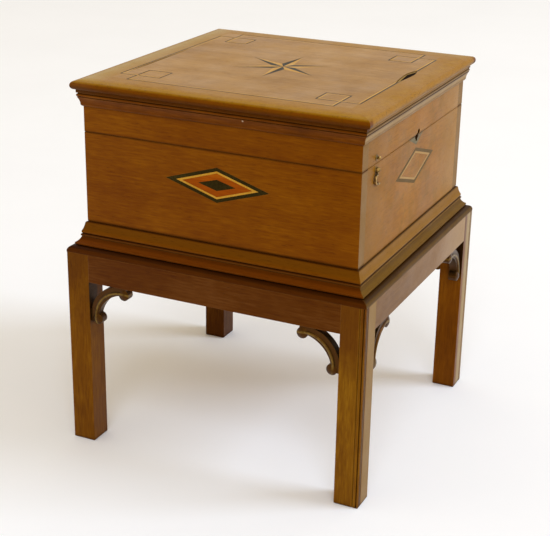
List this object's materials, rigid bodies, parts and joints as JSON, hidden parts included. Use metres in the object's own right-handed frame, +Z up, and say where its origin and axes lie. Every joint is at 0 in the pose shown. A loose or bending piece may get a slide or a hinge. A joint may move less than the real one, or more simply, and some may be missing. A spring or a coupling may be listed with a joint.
{
  "type": "cellarette",
  "caption": "Square wine chest with a hinged, inlaid lid, on a stand of straight reeded legs with scroll brackets at the corners.",
  "frame": {"origin": "floor, at the middle of the stand's footprint", "axes": "+Z up; the front with the lock and the hook faces -Y; +X to the right seen from the front"},
  "size_m": [0.453, 0.458, 0.5435],
  "materials": {
    "leg_mahogany": "aged french polish, reddish brown",
    "rail_mahogany": "aged french polish",
    "stand_moulding_mahogany": "aged french polish",
    "base_moulding_mahogany": "aged french polish, golden brown",
    "lid_moulding_mahogany": "aged french polish",
    "ebonised_wood": "ebonised, worn on the ridges",
    "peg_oak": "bare",
    "case_mahogany_across": "aged french polish, grain left to right",
    "case_mahogany_along": "aged french polish, grain front to back",
    "top_mahogany": "aged french polish, faded",
    "bottom_pine": "bare, dusty",
    "divider_mahogany": "bare",
    "ebony": "polished inlay",
    "boxwood": "polished inlay",
    "satinwood": "polished inlay",
    "stained_sycamore": "grey-green stained inlay",
    "brass": "aged, darkened in the recesses",
    "lock_brass": "aged",
    "steel": "dull",
    "screw_steel": "dull, aged"
  },
  "bodies": {
    "stand": {"brackets_back_left": "ebonised_wood", "brackets_back_right": "ebonised_wood", "brackets_front_left": "ebonised_wood", "brackets_front_right": "ebonised_wood", "leg_back_left": "leg_mahogany", "leg_back_right": "leg_mahogany", "leg_front_left": "leg_mahogany", "leg_front_right": "leg_mahogany", "rail_back": "rail_mahogany", "rail_front": "rail_mahogany", "rail_left": "rail_mahogany", "rail_right": "rail_mahogany", "stand_moulding_back": "stand_moulding_mahogany", "stand_moulding_front": "stand_moulding_mahogany", "stand_moulding_left": "stand_moulding_mahogany", "stand_moulding_right": "stand_moulding_mahogany", "tenon_pegs": "peg_oak"},
    "chest": {"base_moulding_back": "base_moulding_mahogany", "base_moulding_front": "base_moulding_mahogany", "base_moulding_left": "base_moulding_mahogany", "base_moulding_right": "base_moulding_mahogany", "chest_back": "case_mahogany_across", "chest_bottom": "bottom_pine", "chest_front": "case_mahogany_across", "chest_left": "case_mahogany_along", "chest_right": "case_mahogany_along", "chest_screws": "screw_steel", "divider_front": "divider_mahogany", "divider_left": "divider_mahogany", "divider_rear": "divider_mahogany", "divider_right": "divider_mahogany", "escutcheon": "stained_sycamore", "hinge_lower_left": "brass", "hinge_lower_right": "brass", "hinge_pins": "steel", "hook_pivot_screw": "brass", "lock_case": "lock_brass", "lozenge_boxwood": "boxwood", "lozenge_ebony": "ebony", "lozenge_satinwood": "satinwood"},
    "lid": {"hinge_upper_left": "brass", "hinge_upper_right": "brass", "hook_stud": "brass", "lid_back": "case_mahogany_across", "lid_front": "case_mahogany_across", "lid_left": "case_mahogany_along", "lid_moulding_back": "lid_moulding_mahogany", "lid_moulding_front": "lid_moulding_mahogany", "lid_moulding_left": "lid_moulding_mahogany", "lid_moulding_right": "lid_moulding_mahogany", "lid_right": "case_mahogany_along", "lid_screws": "screw_steel", "lid_top": "top_mahogany", "lock_link_plate": "brass", "star_dark": "ebony", "star_light": "boxwood", "stringing_dark": "ebony", "stringing_light": "boxwood"},
    "bolt": {"lock_bolt": "steel"},
    "hook": {"hook": "brass"}
  },
  "joints": [
    {"name": "chest_lift", "type": "slide", "parent": "stand", "child": "chest", "axis": [0, 0, 1], "range_m": [0, 0.06]},
    {"name": "lid_hinge", "type": "hinge", "parent": "chest", "child": "lid", "pos_m": [0, 0.2106, 0.4695], "axis": [-1, 0, 0], "range_deg": [0, 100]},
    {"name": "bolt_slide", "type": "slide", "parent": "chest", "child": "bolt", "axis": [1, 0, 0], "range_m": [0, 0.008]},
    {"name": "hook_turn", "type": "hinge", "parent": "chest", "child": "hook", "pos_m": [-0.1542, -0.2083, 0.4615], "axis": [0, -1, 0], "range_deg": [0, 180]}
  ]
}
